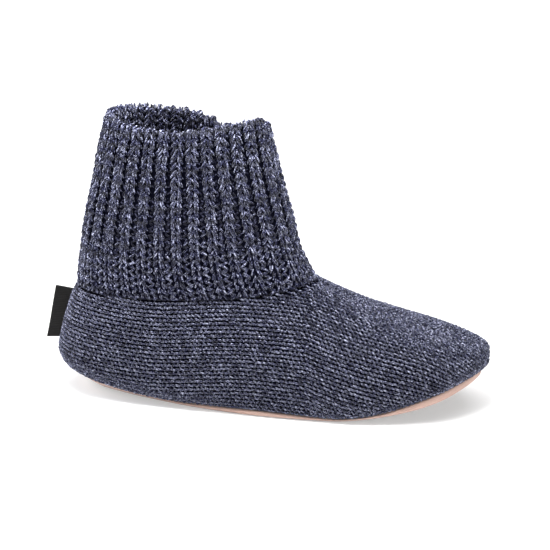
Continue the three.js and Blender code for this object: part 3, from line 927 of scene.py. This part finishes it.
def make_purl_stitches():
    valleys = np.arange(RIB_COUNT) / RIB_COUNT
    paths = cuff_paths(valleys, rib_valley, VALLEY_HEM, VALLEY_ARCH)
    number, d = even_steps(paths, CUFF_STITCH / 2, start=0.6)
    place, up, way, out, pitch = on_paths(paths, number, d)
    n = len(d)
    by_turns = np.where(np.arange(n) % 2, 1, -1)
    slant = np.radians(PURL_SLANT * by_turns + rng.normal(0, PURL_SLANT_SPREAD, n))
    direction = way * np.cos(slant)[:, None] + up * np.sin(slant)[:, None]
    open_knit = place[:, 2] + rng.normal(0, OPEN_KNIT_SPREAD, n) < OPEN_KNIT
    # painted shade: the valleys' stitches high on the cuff take the darker shaded yarn
    for name, kept, yarn in (("low", open_knit, CUFF_YARN), ("high", ~open_knit, SHADED_YARN)):
        line = straight(place[kept], direction[kept], out[kept])
        length = PURL_LEG * pitch[kept] / PURL_PITCH
        legs(f"cuff_purls_{name}", line, d[kept], length, PURL_RADIUS, yarn, flat=0.9, dip=0.6,
             strands=2, apart=0.55, twist=0.8)


def make_cuff_seam():
    """The stitches that join the cuff to the foot, half hidden under the cuff's lower edge, in the darker
    yarn painted with shade.
    """
    count = CUFF_SEAM_COUNT
    w = (np.arange(count) + rng.normal(0, CUFF_SEAM_UNEVEN, count)) / count
    place, ahead, outward, angle, _ = cuff_ring(0.0, w)
    zero = np.zeros((count, 1))
    out = np.concatenate([outward, zero], 1)
    height = seam_height(angle) + CUFF_SEAM_RISE
    centre = np.concatenate([place, height[:, None]], 1) - out * CUFF_SEAM_DEPTH
    direction = np.concatenate([-ahead * CUFF_SEAM_AHEAD, zero - CUFF_SEAM_DOWN], 1)
    # painted shade: these stitches take the darker shaded yarn
    legs("cuff_seam", straight(centre, direction, out), CUFF_SEAM_LEG * w * count, CUFF_SEAM_LEG,
         CUFF_SEAM_RADIUS, SHADED_YARN, dip=0.6)


# The heel tab and the centre-back seam

def back_line(rises):
    """The centre back of the foot."""
    return foot_point(np.full_like(rises, LAP / 2), rises)


def heel_back(height):
    """How far back the foot reaches at a height."""
    line = back_line(np.linspace(0, 1, 160))
    return np.interp(height, line[:, 2], line[:, 0])


def make_tab():
    flat_width = TAB_WIDTH - TAB_HALF
    arc = np.linspace(0, math.pi, TAB_BENDS)[1:-1]

    def ribbon(r):
        """One face of the folded ribbon in plan, at a distance from its middle plane."""
        near = [(-x, -r) for x in np.linspace(0.0, flat_width, TAB_COLUMNS)]
        fold = [(-flat_width - r * math.sin(a), -r * math.cos(a)) for a in arc]
        return near + fold + [(x, -y) for x, y in near[::-1]]

    profile = np.array(ribbon(TAB_HALF) + ribbon(GAP / 2)[::-1])
    inwards = (profile[:, 0] + TAB_WIDTH) / TAB_WIDTH
    fold_x = heel_back(TAB_BOTTOM) - GAP - TAB_WIDTH
    rings = []
    for share in np.linspace(0, 1, TAB_ROWS):
        z = TAB_BOTTOM + share * TAB_HEIGHT + inwards * (TAB_LIFT - (TAB_DROOP + TAB_LIFT) * share)
        outer = fold_x + TAB_LEAN * share * TAB_HEIGHT
        x = outer + (heel_back(z) + TAB_SEWN - outer) * inwards
        curl = TAB_CURL * math.sin(math.pi * share) + TAB_WAVE * math.sin(TAB_WAVES * share)
        y = profile[:, 1] + curl * (1 - inwards) ** 2
        rings.append(np.stack([x, y, z], 1))
    steps = len(profile)
    faces = ring_faces(TAB_ROWS, steps, False)
    caps = []
    for base, upward in ((0, False), ((TAB_ROWS - 1) * steps, True)):
        for i in range(steps // 2 - 1):
            f = [base + i, base + i + 1, base + steps - 2 - i, base + steps - 1 - i]
            caps.append(f if upward else f[::-1])
    loops, starts = quads(np.concatenate([faces, np.array(caps)]))
    piece = build("ribbon_tab", np.concatenate(rings), loops, starts, RIBBON)
    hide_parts("heel_tab")


def make_back_seam():
    line = back_line(np.linspace(-0.95, 0.97, 400))
    lengths = lengths_along(line)
    d = np.arange(1.0, lengths[-1] - 0.5, BACK_SEAM_STITCH)

    def pick(a):
        return np.stack([np.interp(d, lengths, a[:, c]) for c in range(3)], -1)
    place, up = pick(line), unit(pick(np.gradient(line, axis=0)))
    sideways = np.tile([0.0, 1.0, 0.0], (len(d), 1))
    out = unit(np.cross(sideways, up))
    out *= np.sign(-out[:, :1])
    direction = sideways * BACK_SEAM_ACROSS + up * BACK_SEAM_UP
    legs("back_seam", straight(place - out * BACK_SEAM_DEPTH, direction, out), d, BACK_SEAM_LEG,
         BACK_SEAM_RADIUS, FOOT_YARN, dip=0.5)


make_sole()
make_insole()
make_foot_backing()
make_foot_stitches()
make_cuff_backing()
make_rib_stitches()
make_purl_stitches()
make_cuff_seam()
make_tab()
make_back_seam()


# Floor, light and camera, in metres

FLOOR_HALF, FLOOR_DROP = 6.0, 0.0003
WORLD_STRENGTH = 0.32
LIGHTS = [  # name, place, target, width, height and watts
    ("left_box", (-1.5, 0.1, 0.7), (0, 0, 0.08), 0.9, 1.2, 27),
    ("right_box", (1.35, -0.5, 0.4), (0.1, 0, 0.03), 1.0, 0.7, 4),
    ("top_box", (0.0, 0.3, 1.7), (0.05, 0, 0.08), 2.2, 1.8, 33),
    ("cuff_box", (-0.02, -0.12, 0.55), (-0.03, 0.02, 0.16), 0.3, 0.2, 3.5),
]
AZIMUTH, ELEVATION, DISTANCE = math.radians(10.4), math.radians(18.0), 1.4
TARGET = (0.0, 0.0, 0.09)
TARGET_PX = (264.7, 260.2)  # where the target is seen in the picture
PICTURE_PX = 550
TARGET_SCALE = 1559  # pixels per metre at the target
SENSOR = 36.0  # millimetres


def direction_euler(place, target):
    return (Vector(target) - Vector(place)).to_track_quat("-Z", "Y").to_euler()


def make_floor():
    mesh = bpy.data.meshes.new("floor")
    corners = [(FLOOR_HALF * x, FLOOR_HALF * y, 0) for x, y in ((-1, -1), (1, -1), (1, 1), (-1, 1))]
    mesh.from_pydata(corners, [], [(0, 1, 2, 3)])
    mesh.materials.append(floor_material())
    floor = bpy.data.objects.new("floor", mesh)
    floor.location.z = -FLOOR_DROP
    bpy.context.scene.collection.objects.link(floor)


def area_light(name, place, target, width, height, watts):
    data = bpy.data.lights.new(name, "AREA")
    data.shape = "RECTANGLE"
    data.size = width
    data.size_y = height
    data.energy = watts
    lamp = bpy.data.objects.new(name, data)
    lamp.location = place
    lamp.rotation_euler = direction_euler(place, target)
    bpy.context.scene.collection.objects.link(lamp)


def make_light():
    world = bpy.data.worlds.new("studio")
    world.use_nodes = True
    background = world.node_tree.nodes["Background"]
    background.inputs["Color"].default_value = WHITE
    background.inputs["Strength"].default_value = WORLD_STRENGTH
    bpy.context.scene.world = world
    for light in LIGHTS:
        area_light(*light)


def make_camera():
    data = bpy.data.cameras.new("camera")
    data.sensor_width = SENSOR
    data.lens = TARGET_SCALE * DISTANCE / PICTURE_PX * SENSOR
    data.shift_x = (PICTURE_PX / 2 - TARGET_PX[0]) / PICTURE_PX
    data.shift_y = (TARGET_PX[1] - PICTURE_PX / 2) / PICTURE_PX
    data.clip_start = 0.05
    data.clip_end = 50.0
    camera = bpy.data.objects.new("camera", data)
    level = math.cos(ELEVATION)
    back = (math.sin(AZIMUTH) * level, -math.cos(AZIMUTH) * level, math.sin(ELEVATION))
    camera.location = [t + DISTANCE * b for t, b in zip(TARGET, back)]
    camera.rotation_euler = direction_euler(camera.location, TARGET)
    bpy.context.scene.collection.objects.link(camera)
    bpy.context.scene.camera = camera


make_floor()
make_light()
make_camera()
bpy.context.scene.view_settings.view_transform = "Standard"
